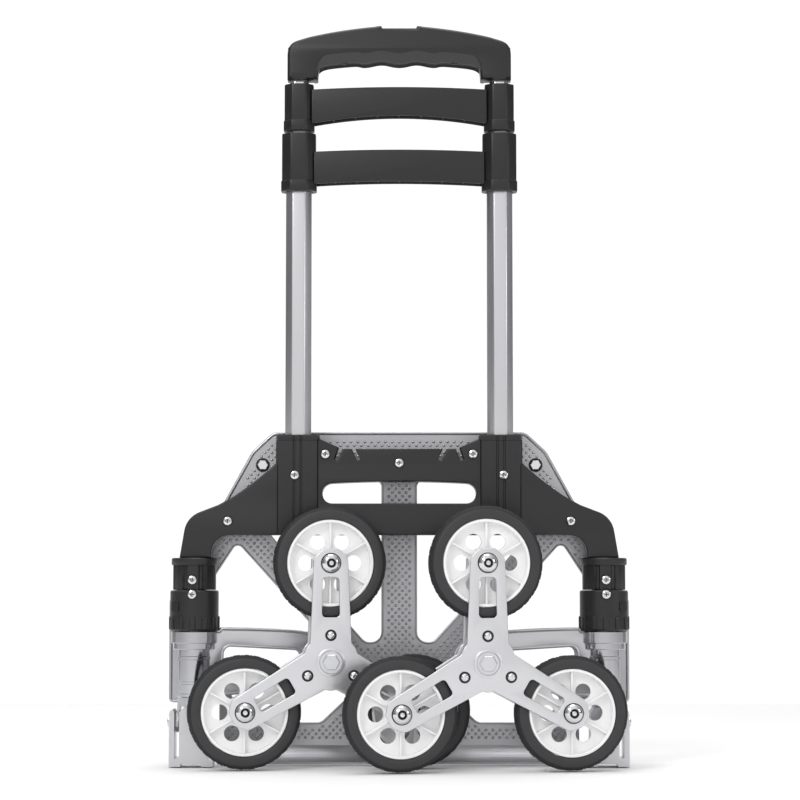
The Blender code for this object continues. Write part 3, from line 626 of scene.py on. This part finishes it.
def build_arm(side, word):
    hold, body = HOLDERS[side], f"arm_{word}"
    outer = [(10, 144), (26.8, 144), (29.5, 147.2)]
    outer = outer + smooth([(36, 147.1), (70, 146.5), (119, 143.8), (128, 140)])
    outer += arc((ARM_REACH, HUB_Z), 23, 80, -105, 24) + [(100, 88), (70, 81), (33, 76.7), (10, 76.7)]
    window = rounded([(30, 89, 5), (ARM_REACH - 26, HUB_Z - 15, 6), (ARM_REACH - 24, HUB_Z + 12, 8),
                      (30, 130, 9)], 8)
    if side > 0:
        outer, window = mirrored(outer), mirrored(window)
    web = slab([outer, window], -5.5, 5.5, 0.8)
    piece(f"arm_web_{word}", web, CAST, body, hold, [f"swing_arm_{word}"])
    for y in (-6.2, 6.2):
        lines = [[(x, y, z) for x, z in ring] for ring in (outer, window)]
        trim = bead([lines[0], lines[1]], 1.7)
        piece(f"arm_bead_{word}_{'front' if y < 0 else 'back'}", trim, CAST, body, hold)
    sleeve = [(11.3, 144.7), (24.2, 144.7), (24.9, 144), (24.9, 132.6), (24.2, 131.9), (22.8, 131.9),
              (22.8, 126), (22.2, 125.3), (17.2, 125.3), (17.2, 118), (18, 117.4), (18, 114.6),
              (17.2, 114), (17.2, 91), (18, 90.4), (18, 88.2), (17.2, 87.6), (17.2, 78), (18.2, 77.4),
              (18.2, 74.6), (17.6, 74), (11.3, 74)]
    piece(f"arm_sleeve_{word}", lathe(sleeve, 56, "UP"), SLEEVE, body, hold)
    boss = lathe([(6.3, 4), (16, 4), (16, INNER_SHEET - 0.6), (6.3, INNER_SHEET - 0.6)], 40)
    hub = hold @ at(-side * ARM_REACH, 0, HUB_Z)
    piece(f"arm_boss_{word}", boss, CAST, body, hub)
    face = OUTER_SHEET + STAR_SHEET
    washer = lathe([(0, face + 0.3), (15, face + 0.3), (15, face + 1.5), (14, face + 2.1), (12.6, face + 2.1),
                    (11.8, face + 1.3), (0, face + 1.3)], 40)
    head = lathe([(0, face + 1), (9.4, face + 1), (9.4, face + 4.4), (8.4, face + 5.2), (0, face + 5.2)],
                 6, angle=20)
    back = lathe([(0, -14), (9.4, -14), (9.4, -8.3), (6, -8.3), (6, face), (0, face)], 32)
    piece(f"hub_washer_{word}", washer, STAR, body, hub)
    piece(f"hub_head_{word}", head, STAR, body, hub)
    piece(f"hub_bolt_{word}", back, CHROME, body, hub, [f"hub_axle_{word}"])


def star_outline():
    right = [(8, 120.4), (16.6, 112.6), (18.4, 109), (22.2, 19.8), (25.2, 16.4)]
    arm = [(-x, z) for x, z in reversed(right)] + right
    radii = (6, 6, 4, 4, 4)
    corners = []
    for k in range(3):
        turn = Matrix.Rotation(math.radians(-120 * k), 2)
        for (x, z), radius in zip(arm, radii + radii[::-1]):
            spot = turn @ Vector((x, z))
            corners.append((spot.x, spot.y, 2.5))
    return rounded(corners, 4)


def star_spots(radius):
    return [(radius * math.cos(math.radians(a)), radius * math.sin(math.radians(a))) for a in (90, 210, 330)]


def build_star(side, word):
    body, hub = f"star_{word}", HOLDERS[side] @ at(-side * ARM_REACH, 0, HUB_Z)
    shape = rounded([(-9.4, 47.5, 4), (9.4, 47.5, 4), (8.8, 90, 4), (-8.8, 90, 4)], 6)
    slots = []
    for k in range(3):
        turn = Matrix.Rotation(math.radians(120 * k), 2)
        slots.append([tuple(turn @ Vector(p)) for p in shape])
    for name, low in (("inner", INNER_SHEET), ("outer", OUTER_SHEET)):
        plate = slab([star_outline(), *slots], -low - STAR_SHEET, -low, 0.9)
        piece(f"star_{name}_{word}", plate, STAR, body, hub, [f"star_{name}_plate_{word}"])
    repaint(f"star_hub_{word}", STAR)
    face = OUTER_SHEET + STAR_SHEET
    dome = lathe([(0, face), (4.4, face), (4.3, face + 1), (3.5, face + 2.2), (1.8, face + 3),
                  (0, face + 3.2)], 28)
    # The dark ring round each rivet is painted shade.
    ring = lathe([(0, face), (6.2, face), (5.9, face + 0.7), (0, face + 0.7)], 28)
    for mesh, look, part in ((dome, CHROME, "rivets"), (ring, PAINTED_SHADE, "rivet_shade_rings")):
        group = merged([(mesh, at(x, 0, z)) for x, z in star_spots(28.5)])
        piece(f"star_{part}_{word}", group, look, body, hub)


def wheel_names(word):
    return ("top", "outer", "inner") if word == "left" else ("top", "inner", "outer")


def rim_mesh():
    """Lip, dished web with six holes and six ribs, and boss, symmetrical front to back."""
    front = [(46.4, 8.6), (45.8, 9.6), (44, 9.8), (43.2, 9.2), (42.4, 1.6), (40, 0.9), (30, 1.3),
             (16, 3), (14, 4.4), (13.4, 8.2), (12.4, 9), (4.4, 9)]
    profile = front + [(r, -h) for r, h in reversed(front)]
    mesh = lathe(profile, 96)
    body = bpy.data.objects.new("rim_body", mesh)
    bpy.context.scene.collection.objects.link(body)
    cutters = []
    for k in range(6):
        turn = math.radians(60 * k)
        drill = lathe([(0, -12), (8.4, -12), (8.4, 12), (0, 12)], 28)
        cutter = bpy.data.objects.new("rim_drill", drill)
        cutter.matrix_world = at(25.7 * math.cos(turn), 0, 25.7 * math.sin(turn))
        bpy.context.scene.collection.objects.link(cutter)
        step = body.modifiers.new("hole", "BOOLEAN")
        step.operation = "DIFFERENCE"
        step.solver = "EXACT"
        step.object = cutter
        cutters.append(cutter)
    bpy.context.view_layer.update()
    cut = bpy.data.meshes.new_from_object(body.evaluated_get(bpy.context.evaluated_depsgraph_get()))
    for thing in [body, *cutters]:
        bpy.data.objects.remove(thing)
    cut.materials.clear()
    settle(cut)
    parts = [(cut, at())]
    for k in range(6):
        rib = slab([[(13, -1), (43, -1), (43, 1), (13, 1)]], -7.2, 7.2, 0.5)
        parts.append((rib, Matrix.Rotation(math.radians(30 + 60 * k), 4, "Y")))
    whole = merged(parts)
    whole.materials.clear()
    whole.materials.append(WHITE)
    return whole


def tyre_mesh():
    """A solid tyre with round shoulders and fine ribs across its tread."""
    side = [(46.8, 9.2), (47.6, 9.9), (51, 10), (54.5, 9.8), (56.6, 9.2), (58.6, 7.6), (59.8, 6.2),
            (60.4, 4.6)]
    profile = side + [(60.4, 0)] + [(r, -h) for r, h in reversed(side)]
    mesh = lathe(profile, 240, angle=50)
    for spot in mesh.vertices:
        radius = math.hypot(spot.co.x, spot.co.z)
        if radius > 59 * MM:
            turn = math.degrees(math.atan2(spot.co.z, spot.co.x)) % 3
            if turn > 1.6:
                spot.co.x *= 0.988
                spot.co.z *= 0.988
    mesh.materials.append(SIDEWALL)
    mesh.materials.append(SHADED_TREAD)
    # Faces beyond 57 mm, the shoulders and tread, take the darker material: painted shade on the rounded
    # outer band.
    for face in mesh.polygons:
        if math.hypot(face.center.x, face.center.z) > 57 * MM:
            face.material_index = 1
    return mesh


def cap_meshes():
    """Axle cap: a dished ring, a dark disc of painted shade behind it that shows in the recess and round the
    ring, a bright domed end, and the bolt behind it.
    """
    face = OUTER_SHEET + STAR_SHEET
    ring = lathe([(4.8, face + 0.4), (9.8, face + 0.4), (9.8, face + 1.6), (8.8, face + 3), (6.4, face + 4.8),
                  (5.4, face + 5), (4.8, face + 4.4)], 36)
    shadow = lathe([(0, face), (10.9, face), (10.9, face + 0.6), (0, face + 0.6)], 36)
    end = lathe([(0, INNER_SHEET - 1.5), (6, INNER_SHEET - 1.5), (6, INNER_SHEET - 0.3),
                 (3.9, INNER_SHEET - 0.3), (3.9, face + 1), (3, face + 4.4), (2.2, face + 5.4),
                 (0, face + 5.7)], 28)
    return ring, shadow, end


def build_cluster(side, word, rim, tyre, cap):
    build_arm(side, word)
    build_star(side, word)
    for position, (dx, dz) in zip(wheel_names(word), star_spots(STAR_R)):
        tag = f"{word}_{position}"
        spot = HOLDERS[side] @ at(-side * ARM_REACH + dx, 0, HUB_Z + dz)
        middle = spot @ at(0, -WHEEL_MIDDLE, 0)
        piece(f"wheel_rim_{tag}", rim, WHITE, f"wheel_{tag}", middle, [f"rim_{tag}"])
        piece(f"wheel_tyre_{tag}", tyre, SIDEWALL, f"wheel_{tag}", middle, [f"tyre_{tag}"])
        ring, shadow, end = cap
        piece(f"cap_ring_{tag}", ring, CHROME, f"star_{word}", spot)
        piece(f"cap_shadow_{tag}", shadow, PAINTED_SHADE, f"star_{word}", spot)
        piece(f"cap_end_{tag}", end, CHROME, f"star_{word}", spot, [f"axle_{tag}"])


# ---------------------------------------------------------------- studio

def build_studio():
    floor = bpy.data.meshes.new("floor")
    far, behind = 12, 1.3
    corners = [(-far, -far, 0), (far, -far, 0), (far, behind, 0), (-far, behind, 0)]
    floor.from_pydata(corners, [], [(0, 1, 2, 3)])
    ground = bpy.data.objects.new("floor", floor)
    ground.location.z = -0.0012
    bpy.context.scene.collection.objects.link(ground)
    floor.materials.append(finish("floor_look", "f4f4f4", 0.9))

    world = bpy.data.worlds.new("studio")
    world.use_nodes = True
    nodes, links = world.node_tree.nodes, world.node_tree.links
    back = nodes["Background"]
    back.inputs["Color"].default_value = (1, 1, 1, 1)
    spot, split = nodes.new("ShaderNodeTexCoord"), nodes.new("ShaderNodeSeparateXYZ")
    size, reach = nodes.new("ShaderNodeMath"), nodes.new("ShaderNodeMapRange")
    size.operation = "ABSOLUTE"
    reach.inputs["From Min"].default_value = 0.3
    reach.inputs["To Min"].default_value = 1.04
    reach.inputs["To Max"].default_value = 0.14
    links.new(spot.outputs["Generated"], split.inputs["Vector"])
    links.new(split.outputs["X"], size.inputs[0])
    links.new(size.outputs["Value"], reach.inputs["Value"])
    links.new(reach.outputs["Result"], back.inputs["Strength"])
    bpy.context.scene.world = world

    lamps = (("key", (-1.5, -2.4, 2.4), 1.0, 34), ("fill", (2.6, -1.4, 1.0), 0.9, 10),
             ("top", (0, 0.2, 2.8), 1.4, 22))
    for name, spot, size, power in lamps:
        light = bpy.data.lights.new(name, "AREA")
        light.size = size
        light.energy = power
        lamp = bpy.data.objects.new(name, light)
        lamp.location = spot
        lamp.rotation_euler = (Vector((0, 0, 0.35)) - Vector(spot)).to_track_quat("-Z", "Y").to_euler()
        bpy.context.scene.collection.objects.link(lamp)

    lens = bpy.data.cameras.new("camera")
    lens.lens, lens.sensor_width = 108, 36
    camera = bpy.data.objects.new("camera", lens)
    camera.location = (0.00087, -2.6123 + LEG_Y * MM, 0.2047)
    camera.rotation_euler = (math.radians(94.185), 0, 0)
    bpy.context.scene.collection.objects.link(camera)
    bpy.context.scene.camera = camera
    bpy.context.scene.view_settings.view_transform = "Standard"


build_studio()
build_yoke()
build_handle()
build_legs()
build_toe_plate()
rim, tyre, cap = rim_mesh(), tyre_mesh(), cap_meshes()
for side, word in SIDES:
    build_cluster(side, word, rim, tyre, cap)
repaint("release_wire", SPRING)
